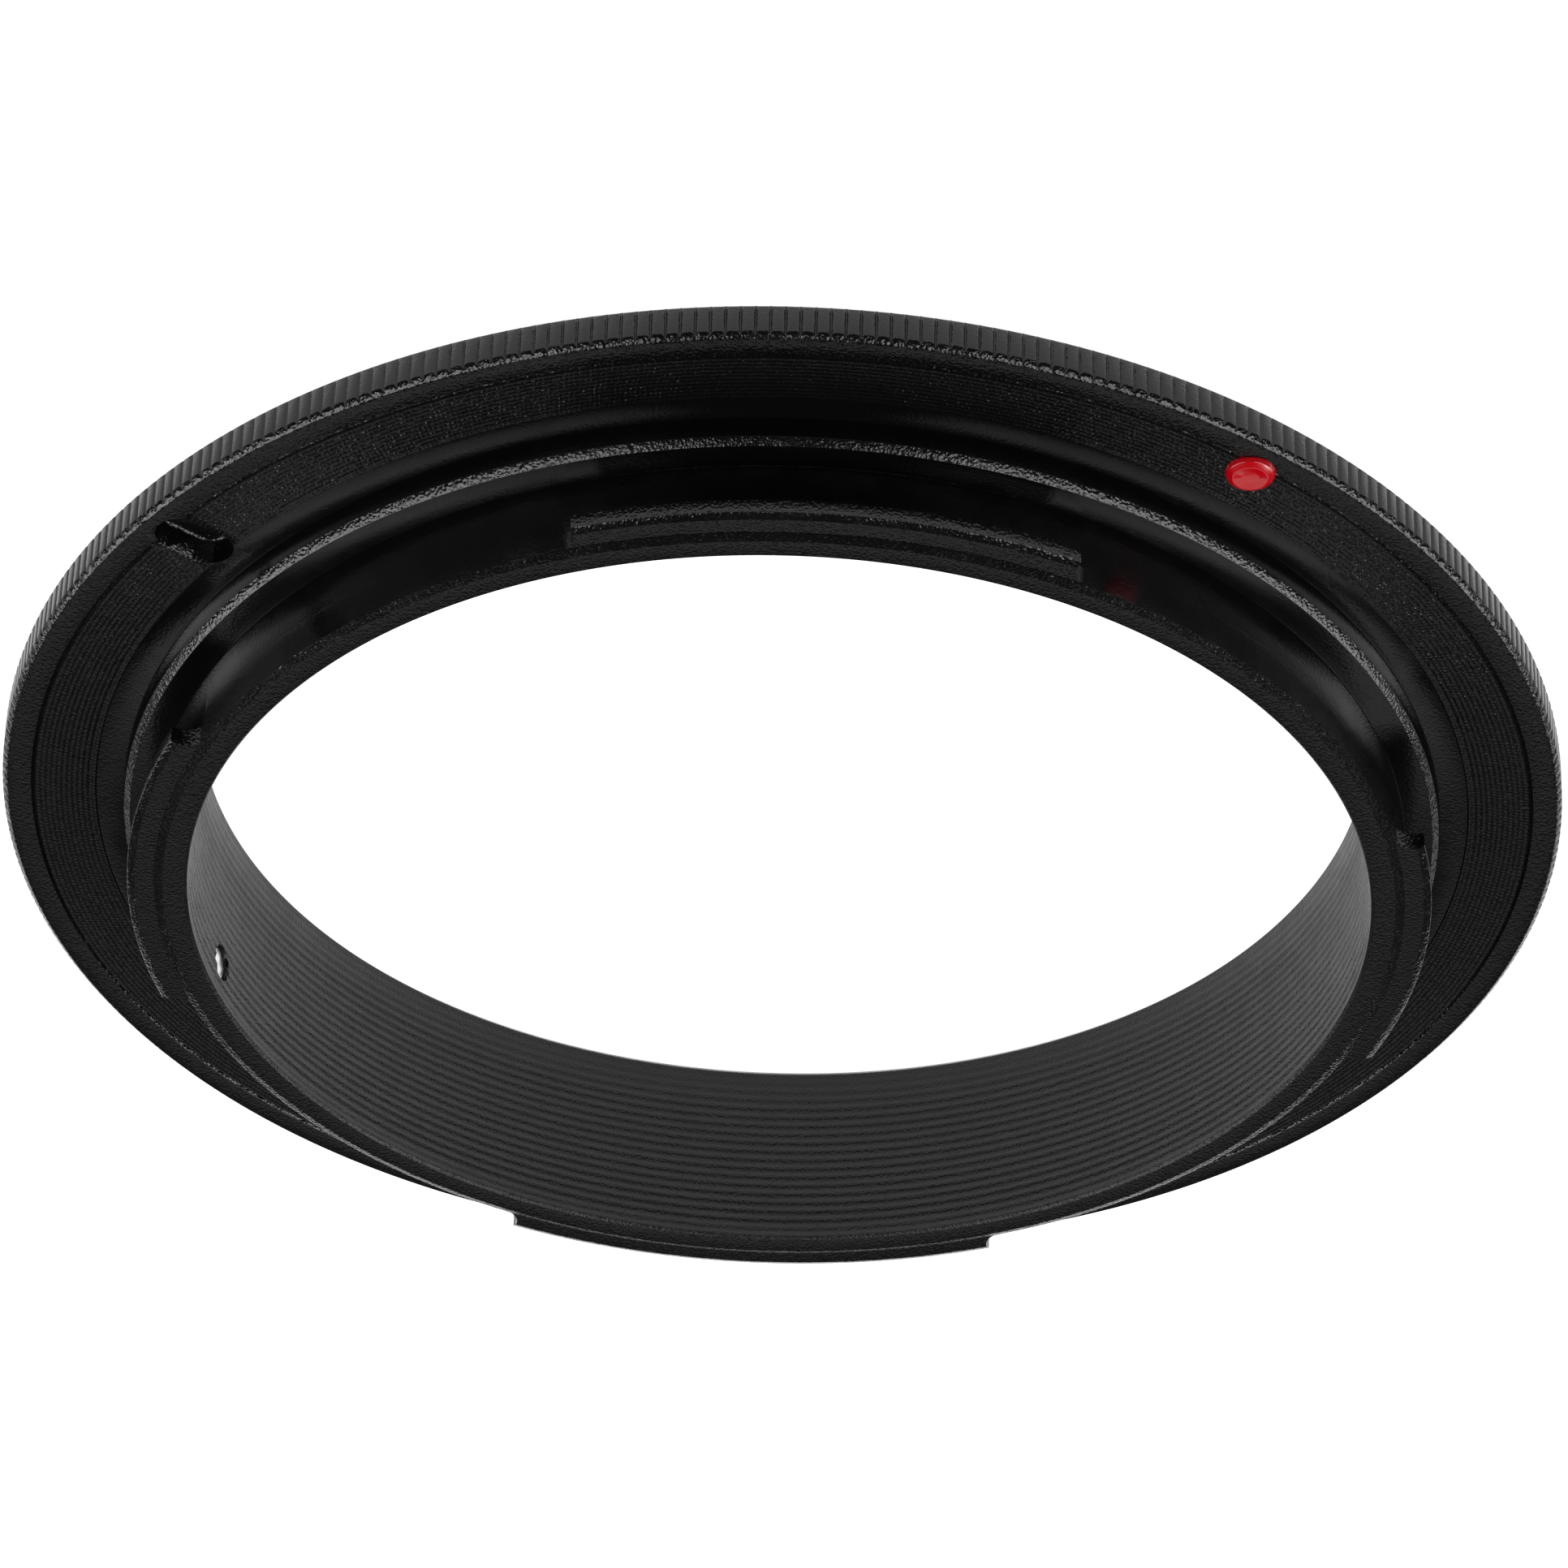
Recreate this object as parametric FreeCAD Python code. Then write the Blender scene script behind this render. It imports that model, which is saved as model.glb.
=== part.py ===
import FreeCAD, Part
import math
import os

os.makedirs("parts", exist_ok=True)

# A reversing ring: a lens-thread boss below, a knurled grip flange, and a four-lug bayonet above.
# Lengths are in millimetres and angles in degrees.
# Z is the light axis, z = 0 is the end of the thread boss, and the index dot lies on +Y.

# Thread boss, screwed into a lens from the front; the crests of the thread lie on its diameter
thread_diameter = 52.0
thread_boss_length = 2.65
thread_boss_wall = 1.5
thread_end_chamfer = 0.45
thread_relief_width = 0.6
thread_relief_depth = 0.5
bore_thread_end_chamfer = 0.24

# Bayonet tube, round the same bore, with its height above the flange face
tube_wall = 1.39
tube_height = 4.67
tube_rim_bevel_width = 0.38
tube_rim_bevel_height = 0.15
bore_bayonet_end_chamfer = 0.18

# Bayonet lugs, each with the angle where it starts after the index dot and its sweep
lug_reach = 1.11
lug_setback = 0.17
lug_thickness = 0.77
lug_chamfer_width = 0.33
lug_chamfer_height = 0.14
lug_root_radius = 0.9
lug_angles = ((11.0, 43.5), (102.5, 40.0), (191.5, 45.5), (285.5, 33.5))

# Register boss that centres the ring in the mount, just wider than the lugs
register_step = 0.37
register_height = 1.19
register_chamfer = 0.28

# Bands on the flange face, from the register boss out to the grip
inner_band_width = 1.255
inner_band_depth = 0.05
turned_band_width = 2.585
seat_groove_width = 0.16
seat_groove_depth = 0.09
outer_band_width = 1.29

# Grip flange with its straight knurl
grip_thickness = 1.58
grip_top_chamfer = 0.32
grip_bottom_chamfer = 0.24
knurl_pitch = 0.587
knurl_crest_width = 0.36
knurl_depth = 0.16

# Index dot, a bead of enamel in a shallow recess just inside the seat groove
dot_inset = 0.53
dot_diameter = 2.03
dot_recess_depth = 0.3
dot_rim_height = 0.04
dot_dome_height = 0.3

# Lock slot, which takes the sprung pin of the mount
slot_angle = 88.5
slot_inset = 1.21
slot_length = 3.38
slot_width = 1.98
slot_depth = 1.2
slot_edge_break = 0.12

# Stop pin, pressed through the tube under the end of the second lug
stop_pin_angle = 143.2
stop_pin_below_lug = 0.17
stop_pin_diameter = 1.56
stop_pin_bore_recess = 0.4
stop_pin_behind_lug_edge = 0.15
stop_pin_chamfer = 0.12

# Radii, levels and directions that follow from the sizes above
axis = FreeCAD.Vector(0, 0, 1)
centre = FreeCAD.Vector(0, 0, 0)
index_direction = 90.0
overrun = 1.0
thread_radius = thread_diameter / 2
relief_radius = thread_radius - thread_relief_depth
bore_radius = thread_radius - thread_boss_wall
tube_radius = bore_radius + tube_wall
lug_radius = tube_radius + lug_reach
register_radius = lug_radius + register_step
inner_band_radius = register_radius + inner_band_width
seat_groove_radius = inner_band_radius + turned_band_width
grip_radius = seat_groove_radius + outer_band_width
flange_bottom = thread_boss_length
flange_face = flange_bottom + grip_thickness
register_top = flange_face + register_height
tube_top = flange_face + tube_height
lug_top = tube_top - lug_setback
lug_bottom = lug_top - lug_thickness
stop_pin_level = lug_bottom - stop_pin_below_lug - stop_pin_diameter / 2


def turned(points):
    """Revolve an outline of (radius, height) points about the light axis."""
    outline = Part.makePolygon([FreeCAD.Vector(r, 0, z) for r, z in points + points[:1]])
    return Part.Face(outline).revolve(centre, axis, 360)


def at_angle(shape, angle):
    """Turn a shape made on the +X axis to an angle measured from the index dot."""
    placed = shape.copy()
    placed.rotate(centre, axis, index_direction + angle)
    return placed


def turned_core():
    """Lathe work inside the grip: boss, flange, register, tube and a full ring in place of the lugs."""
    return turned([
        (bore_radius, 0),
        (thread_radius, 0),
        (thread_radius, flange_bottom - thread_relief_width - thread_relief_depth),
        (relief_radius, flange_bottom - thread_relief_width),
        (relief_radius, flange_bottom),
        (seat_groove_radius, flange_bottom),
        (seat_groove_radius, flange_face),
        (inner_band_radius, flange_face),
        (inner_band_radius - inner_band_depth, flange_face - inner_band_depth),
        (register_radius, flange_face - inner_band_depth),
        (register_radius, register_top - register_chamfer),
        (register_radius - register_chamfer, register_top),
        (tube_radius, register_top),
        (tube_radius, lug_bottom),
        (lug_radius, lug_bottom),
        (lug_radius, lug_top - lug_chamfer_height),
        (lug_radius - lug_chamfer_width, lug_top),
        (tube_radius, lug_top),
        (tube_radius, tube_top),
        (bore_radius, tube_top),
    ])


def knurled_rim():
    """Outer band of the flange, whose straight teeth run out on the bevels of both edges."""
    teeth = 4 * round(math.pi * grip_radius / knurl_pitch / 2)
    step = 2 * math.pi / teeth
    crest_half = knurl_crest_width / 2 / grip_radius
    root_radius = grip_radius - knurl_depth
    spread = math.cos(step / 2 - crest_half)

    def point(radius, angle, level):
        return FreeCAD.Vector(radius * math.cos(angle), radius * math.sin(angle), level)

    def face(*corners):
        return Part.Face(Part.makePolygon(list(corners) + [corners[0]]))

    faces = []
    sides = []
    for level, chamfer, up in (
        (flange_face, grip_top_chamfer, 1),
        (flange_bottom, grip_bottom_chamfer, -1),
    ):
        edge_radius = grip_radius - chamfer
        share = (grip_radius * spread - root_radius) / (chamfer * spread)
        crest_level = level - up * chamfer
        root_level = crest_level + up * chamfer * share
        sides.append((crest_level, root_level))
        land = []
        for tooth in range(teeth):
            left = tooth * step - crest_half
            right = tooth * step + crest_half
            following = left + step
            land += [point(edge_radius, left, level), point(edge_radius, right, level)]
            faces.append(face(
                point(grip_radius, left, crest_level),
                point(grip_radius, right, crest_level),
                point(edge_radius, right, level),
                point(edge_radius, left, level),
            ))
            faces.append(face(
                point(grip_radius, right, crest_level),
                point(root_radius, right - crest_half + step / 2, root_level),
                point(grip_radius, following, crest_level),
                point(edge_radius, following, level),
                point(edge_radius, right, level),
            ))
        faces.append(face(*land))
    (top_crest, top_root), (bottom_crest, bottom_root) = sides
    for tooth in range(teeth):
        left = tooth * step - crest_half
        right = tooth * step + crest_half
        root = (tooth + 0.5) * step
        columns = (
            (grip_radius, left, bottom_crest, top_crest),
            (grip_radius, right, bottom_crest, top_crest),
            (root_radius, root, bottom_root, top_root),
            (grip_radius, left + step, bottom_crest, top_crest),
        )
        for (r_a, a, low_a, high_a), (r_b, b, low_b, high_b) in zip(columns, columns[1:]):
            faces.append(face(
                point(r_a, a, low_a), point(r_b, b, low_b), point(r_b, b, high_b), point(r_a, a, high_a)
            ))
    shell = Part.Shell(faces)
    disc = Part.Solid(shell)
    if disc.Volume < 0:
        disc.reverse()
    inside = Part.makeCylinder(
        seat_groove_radius, grip_thickness + 2 * overrun, FreeCAD.Vector(0, 0, flange_bottom - overrun)
    )
    return disc.cut(inside)


def outer_edge_cut(radius, level, width, height, up):
    """Ring that bevels an outer edge, where up is 1 on a top edge and -1 on a bottom edge."""
    slope = height / width
    return turned([
        (radius - width - overrun, level + up * overrun * slope),
        (radius + overrun, level - up * (height + overrun * slope)),
        (radius + overrun, level + up * overrun * slope),
    ])


def bore_edge_cut(level, size, up):
    """Ring that bevels an end of the bore."""
    return turned([
        (bore_radius - overrun, level + up * overrun),
        (bore_radius - overrun, level - up * (size + overrun)),
        (bore_radius + size + overrun, level + up * overrun),
    ])


def seat_groove_cut():
    """Ring that cuts the V groove between the two outer seat bands."""
    half_top = seat_groove_width / 2 * (1 + overrun / seat_groove_depth)
    return turned([
        (seat_groove_radius, flange_face - seat_groove_depth),
        (seat_groove_radius + half_top, flange_face + overrun),
        (seat_groove_radius - half_top, flange_face + overrun),
    ])


def lug_gap_cut(start, sweep):
    """Milling path between two lugs, with corners as round as the cutter."""
    outer = lug_radius + overrun
    end = math.radians(sweep)
    half = end / 2
    near_start = FreeCAD.Vector(tube_radius, 0, 0)
    near_half = FreeCAD.Vector(tube_radius * math.cos(half), tube_radius * math.sin(half), 0)
    near_end = FreeCAD.Vector(tube_radius * math.cos(end), tube_radius * math.sin(end), 0)
    far_start = FreeCAD.Vector(outer, 0, 0)
    far_half = FreeCAD.Vector(outer * math.cos(half), outer * math.sin(half), 0)
    far_end = FreeCAD.Vector(outer * math.cos(end), outer * math.sin(end), 0)
    outline = Part.Wire([
        Part.makeLine(near_start, far_start),
        Part.Arc(far_start, far_half, far_end).toShape(),
        Part.makeLine(far_end, near_end),
        Part.Arc(near_end, near_half, near_start).toShape(),
    ])
    bottom = lug_bottom - (lug_bottom - register_top) / 4
    path = Part.Face(outline).extrude(FreeCAD.Vector(0, 0, tube_top + overrun - bottom))
    corners = []
    for edge in path.Edges:
        first, last = edge.Vertexes[0].Point, edge.Vertexes[-1].Point
        upright = math.hypot(first.x - last.x, first.y - last.y) < 1e-6
        if upright and math.hypot(first.x, first.y) < (tube_radius + outer) / 2:
            corners.append(edge)
    path = path.makeFillet(lug_root_radius, corners)
    path.translate(FreeCAD.Vector(0, 0, bottom))
    return at_angle(path, start)


def slot_outline(growth, level):
    """Closed outline of the lock slot, grown all round by growth."""
    half_width = slot_width / 2 + growth
    reach = (slot_length - slot_width) / 2
    near = seat_groove_radius - slot_inset - reach
    far = near + 2 * reach
    return Part.Wire([
        Part.makeLine(FreeCAD.Vector(near, -half_width, level), FreeCAD.Vector(far, -half_width, level)),
        Part.Arc(
            FreeCAD.Vector(far, -half_width, level),
            FreeCAD.Vector(far + half_width, 0, level),
            FreeCAD.Vector(far, half_width, level),
        ).toShape(),
        Part.makeLine(FreeCAD.Vector(far, half_width, level), FreeCAD.Vector(near, half_width, level)),
        Part.Arc(
            FreeCAD.Vector(near, half_width, level),
            FreeCAD.Vector(near - half_width, 0, level),
            FreeCAD.Vector(near, -half_width, level),
        ).toShape(),
    ])


def slot_cut():
    """Pocket of the lock slot with its broken edge."""
    floor = flange_face - slot_depth
    pocket = Part.Face(slot_outline(0, floor)).extrude(FreeCAD.Vector(0, 0, slot_depth + overrun))
    flare = Part.makeLoft(
        [
            slot_outline(0, flange_face - slot_edge_break),
            slot_outline(slot_edge_break + overrun, flange_face + overrun),
        ],
        True,
    )
    return at_angle(pocket.fuse(flare), slot_angle)


def dot_cut():
    """Flat recess that the enamel bead fills."""
    recess = Part.makeCylinder(
        dot_diameter / 2,
        dot_recess_depth + overrun,
        FreeCAD.Vector(seat_groove_radius - dot_inset, 0, flange_face - dot_recess_depth),
    )
    return at_angle(recess, 0)


def stop_pin_cut():
    """Radial hole for the stop pin, through the wall of the tube."""
    hole = Part.makeCylinder(
        stop_pin_diameter / 2,
        tube_wall + 2 * overrun,
        FreeCAD.Vector(bore_radius - overrun, 0, stop_pin_level),
        FreeCAD.Vector(1, 0, 0),
    )
    return at_angle(hole, stop_pin_angle)


def ring_body():
    """The whole aluminium ring: lathe work, knurl, milled lug gaps, slot, recess and pin hole."""
    body = turned_core()
    cuts = [
        outer_edge_cut(thread_radius, 0, thread_end_chamfer, thread_end_chamfer, -1),
        bore_edge_cut(0, bore_thread_end_chamfer, -1),
        bore_edge_cut(tube_top, bore_bayonet_end_chamfer, 1),
        stop_pin_cut(),
    ]
    for index, (start, sweep) in enumerate(lug_angles):
        following = lug_angles[(index + 1) % len(lug_angles)][0]
        cuts.append(lug_gap_cut(start + sweep, (following - start - sweep) % 360))
    for cut in cuts:
        body = body.cut(cut)
    body = body.cut(outer_edge_cut(tube_radius, tube_top, tube_rim_bevel_width, tube_rim_bevel_height, 1))
    body = body.fuse(knurled_rim()).removeSplitter()
    for cut in (slot_cut(), dot_cut(), seat_groove_cut()):
        body = body.cut(cut)
    return body


def index_dot():
    """Bead of enamel: a disc that fills the recess, with a domed top."""
    radius = dot_diameter / 2
    rim = flange_face + dot_rim_height
    top = flange_face + dot_dome_height
    bottom = flange_face - dot_recess_depth
    rise = top - rim
    dome_radius = (radius ** 2 + rise ** 2) / (2 * rise)
    lean = math.asin(radius / dome_radius) / 2
    shoulder = FreeCAD.Vector(dome_radius * math.sin(lean), 0, top - dome_radius * (1 - math.cos(lean)))
    foot = FreeCAD.Vector(0, 0, bottom)
    heel = FreeCAD.Vector(radius, 0, bottom)
    edge = FreeCAD.Vector(radius, 0, rim)
    crown = FreeCAD.Vector(0, 0, top)
    outline = Part.Wire([
        Part.makeLine(foot, heel),
        Part.makeLine(heel, edge),
        Part.Arc(edge, shoulder, crown).toShape(),
        Part.makeLine(crown, foot),
    ])
    bead = Part.Face(outline).revolve(centre, axis, 360)
    bead.translate(FreeCAD.Vector(seat_groove_radius - dot_inset, 0, 0))
    return at_angle(bead, 0)


def stop_pin():
    """Steel pin with broken ends, recessed in the bore and standing out of the tube."""
    inner = bore_radius + stop_pin_bore_recess
    outer = lug_radius - stop_pin_behind_lug_edge
    pin = Part.makeCylinder(
        stop_pin_diameter / 2,
        outer - inner,
        FreeCAD.Vector(inner, 0, stop_pin_level),
        FreeCAD.Vector(1, 0, 0),
    )
    rims = [edge for edge in pin.Edges if edge.Curve.TypeId == "Part::GeomCircle"]
    return at_angle(pin.makeChamfer(stop_pin_chamfer, rims), stop_pin_angle)


for name, shape in (
    ("ring_body", ring_body()),
    ("index_dot", index_dot()),
    ("stop_pin", stop_pin()),
):
    shape.exportStep("parts/" + name + ".step")
    box = shape.BoundBox
    print(name, len(shape.Solids), len(shape.Faces), round(shape.Volume, 3), shape.isValid(), box)
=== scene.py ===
import math

import bmesh
import bpy
from mathutils import Matrix, Vector


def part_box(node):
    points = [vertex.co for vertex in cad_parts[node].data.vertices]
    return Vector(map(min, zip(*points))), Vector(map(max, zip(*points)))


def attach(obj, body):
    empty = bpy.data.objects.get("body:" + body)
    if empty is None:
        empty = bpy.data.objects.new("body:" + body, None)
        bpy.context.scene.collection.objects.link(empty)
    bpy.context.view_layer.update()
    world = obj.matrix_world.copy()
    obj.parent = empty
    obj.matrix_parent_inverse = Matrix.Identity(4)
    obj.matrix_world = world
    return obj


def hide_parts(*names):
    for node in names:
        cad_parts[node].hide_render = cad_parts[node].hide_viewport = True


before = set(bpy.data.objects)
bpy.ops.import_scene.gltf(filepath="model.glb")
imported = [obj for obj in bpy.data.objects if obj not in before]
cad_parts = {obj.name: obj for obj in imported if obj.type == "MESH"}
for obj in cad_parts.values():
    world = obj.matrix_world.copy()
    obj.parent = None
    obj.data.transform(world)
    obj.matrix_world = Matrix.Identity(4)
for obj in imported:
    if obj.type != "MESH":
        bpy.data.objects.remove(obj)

bl_info = {
    "name": "Macro reverse ring",
    "version": (1, 0, 0),
    "blender": (4, 5, 0),
    "location": "View3D > Sidebar > Reverse Ring",
    "description": "Builds the finished pieces, surfaces and studio of a macro reverse ring round its frame",
    "category": "Object",
}

# Everything is in metres; sizes are written in millimetres and multiplied by MM.
MM = 0.001
AXIS = Vector((0, 0, 1))
CENTRE = Vector((0, 0, 0))
INDEX_DIRECTION = math.radians(90)
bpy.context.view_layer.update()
RING_LOW, RING_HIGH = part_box("ring_body")
DOT_LOW, DOT_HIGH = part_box("index_dot")

# Short plain stretches where one turned surface runs into the next
TRAP_GAP = 0.1 * MM
THREAD_START = 0.06 * MM
RUN_OUT = 0.25 * MM
LAND_INSET = 0.72 * MM
MERGE = 1e-6
SLIVER = 4e-6

# Grooves that are screwed round the axis
SCREW_START = 1.37
THREAD_DEPTH = 0.613
TRAP_FADE = 2.0 * MM
TRAP_LEAST = 0.3
TRAP_STEPS = 4

# Milling, and the straight steps that its round paths are made of
LUG_COUNT = 4
CLEAR_OF_METAL = 1.0 * MM
CORNER_STEPS = 8
OUTER_STEPS = 12
SLOT_END_STEPS = 16
SLOT_FLOOR_BREAK = 0.15 * MM
RECESS_STEPS = 64
DOT_STEPS = 72
PIN_STEPS = 48
PIN_DRILL_LENGTH = 4.0 * MM
GRIP_CLEARANCE = 0.004 * MM
DOT_CLEARANCE = 0.004 * MM
PIN_CLEARANCE = 0.003 * MM
PIN_ROUND = 0.03 * MM

# Telling the finishes of the ring apart: slack round its walls, and how far up a face's normal points
WALL_SLACK = 0.05 * MM
UPRIGHT_LEAN = 0.5
BEVEL_LEAN = (0.6, 0.8)

# Texture scales, in repeats for each metre or each radian
GRAIN_SCALE = 7000.0
PIT_SCALE = 7600.0
PIT_SHARE = 0.6
CLOUD_SCALE = 700.0
CLOUD_ROUGHNESS = 0.04
SWAY_SCALE = 900.0
SWAY = 7.0
CHATTER_ROUND = 900.0
CHATTER_ACROSS = 9000.0
ENAMEL_SCALE = 1800.0
STEEL_SCALE = (9000, 9000, 2000)

# Soft boxes, from the ring: right, towards the camera and up, in metres
SIDE_BOX_START = (0.22, 0.4, 0.6)
SIDE_BOX_END = (0.63, -0.32, 0.26)
SIDE_BOX_WIDTH = 0.22
FAR_BOX_START = (-0.4, -0.5, 0.6)
FAR_BOX_END = (0.4, -0.5, 0.6)
FAR_BOX_WIDTH = 0.35


def length(name, description, millimetres):
    """A length property with its default in millimetres."""
    return bpy.props.FloatProperty(
        name=name, description=description, default=millimetres * MM, precision=5, unit="LENGTH"
    )


def angle(name, description, degrees):
    """An angle property with its default in degrees."""
    return bpy.props.FloatProperty(
        name=name, description=description, default=math.radians(degrees), subtype="ANGLE"
    )


def number(name, description, value):
    """A plain number property."""
    return bpy.props.FloatProperty(name=name, description=description, default=value)


def count(name, description, value):
    """A whole number property."""
    return bpy.props.IntProperty(name=name, description=description, default=value, min=1)


def colour(name, description, value):
    """A linear colour property."""
    return bpy.props.FloatVectorProperty(
        name=name, description=description, default=value, size=3, subtype="COLOR", min=0, max=1
    )


class TurnedSizes(bpy.types.PropertyGroup):
    """Lathe work: boss, flange, register and tube."""

    columns: count("Columns", "Steps round the axis, one for each tooth of the grip", 348)
    thread_diameter: length("Thread diameter", "Across the crests of the lens thread", 52.0)
    thread_wall: length("Thread wall", "From the bore to the crests of the lens thread", 1.5)
    thread_pitch: length("Thread pitch", "Rise of the lens thread in one turn", 0.75)
    thread_length: length("Boss length", "From the end of the boss to the flange", 2.65)
    thread_chamfer: length("Lead chamfer", "Chamfer at the end of the lens thread", 0.45)
    relief_width: length("Relief width", "Width of the groove between thread and flange", 0.6)
    relief_depth: length("Relief depth", "Depth of the groove between thread and flange", 0.5)
    bore_low_chamfer: length("Lower bore chamfer", "Chamfer of the bore at the thread end", 0.24)
    bore_high_chamfer: length("Upper bore chamfer", "Chamfer of the bore at the bayonet end", 0.12)
    trap_pitch: length("Light trap pitch", "Rise of the fine bore groove in one turn", 0.448)
    trap_depth: length("Light trap depth", "Depth of the fine bore groove", 0.075)
    tube_wall: length("Tube wall", "Wall of the bayonet tube", 1.39)
    tube_height: length("Tube height", "Above the flange face", 4.67)
    tube_bevel_width: length("Rim bevel width", "Bevel on the rim of the tube", 0.38)
    tube_bevel_height: length("Rim bevel height", "Bevel on the rim of the tube", 0.15)
    register_step: length("Register step", "From the lugs out to the register boss", 0.37)
    register_height: length("Register height", "Above the flange face", 1.19)
    register_chamfer: length("Register chamfer", "Top edge of the register boss", 0.28)
    inner_band_width: length("Inner band", "Smooth band round the register boss", 1.255)
    inner_band_depth: length("Inner band depth", "Below the flange face", 0.05)
    turned_band_width: length("Turned band", "Band with fine turned grooves", 2.585)
    turned_grooves: count("Turned grooves", "Fine grooves in the turned band", 11)
    turned_depth: length("Groove depth", "Depth of the fine turned grooves", 0.03)
    seat_groove_width: length("Seat groove width", "V groove outside the turned band", 0.16)
    seat_groove_depth: length("Seat groove depth", "V groove outside the turned band", 0.14)
    root_radius: length("Root radius", "Round left by the tool in inner corners", 0.09)
    edge_radius: length("Edge radius", "Round on turned edges", 0.03)

    @property
    def thread_radius(self):
        return self.thread_diameter / 2

    @property
    def bore_radius(self):
        return self.thread_radius - self.thread_wall

    @property
    def tube_radius(self):
        return self.bore_radius + self.tube_wall

    @property
    def flange_face(self):
        return RING_HIGH.z - self.tube_height


class LugSizes(bpy.types.PropertyGroup):
    """Bayonet lugs."""

    reach: length("Reach", "Out from the tube", 1.11)
    setback: length("Setback", "Below the rim of the tube", 0.17)
    thickness: length("Thickness", "Along the axis", 0.77)
    chamfer_width: length("Chamfer width", "Outer top edge of a lug", 0.33)
    chamfer_height: length("Chamfer height", "Outer top edge of a lug", 0.14)
    cutter_radius: length("Cutter radius", "Round left by the cutter beside a lug", 0.9)
    cutter_step: length("Cutter step", "Depth that the cutter goes into the tube", 0.012)
    starts: bpy.props.FloatVectorProperty(
        name="Starts",
        description="Where each lug starts after the index dot",
        size=4,
        subtype="EULER",
        default=[math.radians(a) for a in (11.0, 102.5, 191.5, 285.5)],
    )
    sweeps: bpy.props.FloatVectorProperty(
        name="Sweeps",
        description="How far each lug runs round the tube",
        size=4,
        subtype="EULER",
        default=[math.radians(a) for a in (43.5, 40.0, 45.5, 33.5)],
    )


class GripSizes(bpy.types.PropertyGroup):
    """Knurled rim of the flange."""

    depth: length("Tooth depth", "Depth of the grooves between teeth", 0.13)
    top_chamfer: length("Top chamfer", "Bevel on the bayonet side", 0.24)
    bottom_chamfer: length("Bottom chamfer", "Bevel on the lens side", 0.14)
    edge_radius: length("Edge radius", "Round on the edges of the bevels", 0.025)


class MarkSizes(bpy.types.PropertyGroup):
    """Index dot, lock slot and stop pin."""

    dot_inset: length("Dot inset", "Dot centre inside the seat groove", 0.53)
    dot_diameter: length("Dot diameter", "Across the enamel", 2.03)
    dot_recess: length("Dot recess", "Depth of the recess for the enamel", 0.3)
    slot_direction: angle("Slot direction", "After the index dot", 88.5)
    slot_inset: length("Slot inset", "Slot centre inside the seat groove", 1.21)
    slot_length: length("Slot length", "Along the radius", 3.38)
    slot_width: length("Slot width", "Across the radius", 1.98)
    slot_depth: length("Slot depth", "Below the flange face", 1.2)
    slot_break: length("Slot edge", "Broken edge round the slot", 0.03)
    pin_direction: angle("Pin direction", "After the index dot", 143.2)
    pin_diameter: length("Pin diameter", "Across the stop pin", 1.56)
    pin_below_lug: length("Pin below lug", "Gap under the lug", 0.17)
    pin_recess: length("Pin recess", "How far the pin stops short of the bore", 0.2)
    pin_behind_edge: length("Pin behind edge", "How far the pin stops inside the lug edge", 0.15)
    pin_chamfer: length("Pin chamfer", "Broken ends of the pin", 0.12)


class Finishes(bpy.types.PropertyGroup):
    """Colours and grain of the surfaces."""

    anodised: colour("Anodised", "Black anodising", (0.002, 0.002, 0.0021))
    enamel: colour("Enamel", "Red of the index dot", (0.42, 0.0, 0.004))
    steel: colour("Steel", "Stop pin", (0.72, 0.72, 0.7))
    sheen: number("Sheen", "Refractive index of the sealed anodising", 1.4)
    grain_height: length("Grain height", "Height of the blasted grain", 0.026)
    blasted_roughness: number("Blasted roughness", "Of the blasted faces", 0.18)
    wall_roughness: number("Wall roughness", "Of the turned walls", 0.16)
    bore_roughness: number("Bore roughness", "Of the bore", 0.36)
    grip_roughness: number("Grip roughness", "Of the knurled rim", 0.24)


class Studio(bpy.types.PropertyGroup):
    """Camera, floor and lights."""

    camera_direction: angle("Direction", "Of the camera, from +X round the axis", 126.0)
    camera_elevation: angle("Elevation", "Of the camera above the flange", 35.924)
    camera_roll: angle("Roll", "Of the camera about its line of sight", 181.753)
    camera_distance: length("Distance", "From the flange face", 353.08)
    camera_right: length("Right", "Shift of the target to the right", 0.065)
    camera_up: length("Up", "Shift of the target upwards", 1.749)
    focal_length: number("Focal length", "In millimetres on a 36 mm sensor", 194.15)
    floor_size: length("Floor", "Radius of the floor", 6000.0)
    floor_glow: number("Floor glow", "Light that comes through the floor", 1.0)
    floor_tone: number("Floor tone", "Share of the light that the floor gives back", 0.3)
    sky: number("Room light", "Level of the room round the table", 0.05)
    box_power: number("Soft box power", "Of each soft box in watts", 4.2)
    far_power: number("Far box power", "Of the dim box behind the ring in watts", 0.5)


def polar(radius, direction, level):
    """Point at a radius, direction and height of the light axis."""
    return Vector((radius * math.cos(direction), radius * math.sin(direction), level))


def eased(corners, segments=2):
    """Outline through (across, up, radius) corners, each rounded by its radius."""
    points = []
    last = len(corners) - 1
    for index, (across, up, radius) in enumerate(corners):
        corner = Vector((across, up))
        if radius == 0 or index in (0, last):
            points.append(corner)
            continue
        back = (Vector(corners[index - 1][:2]) - corner).normalized()
        ahead = (Vector(corners[index + 1][:2]) - corner).normalized()
        reach = radius / math.tan(back.angle(ahead) / 2)
        start = corner + back * reach
        end = corner + ahead * reach
        for step in range(segments + 1):
            share = step / segments
            points.append(start.lerp(corner, share).lerp(corner.lerp(end, share), share))
    return points


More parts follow.
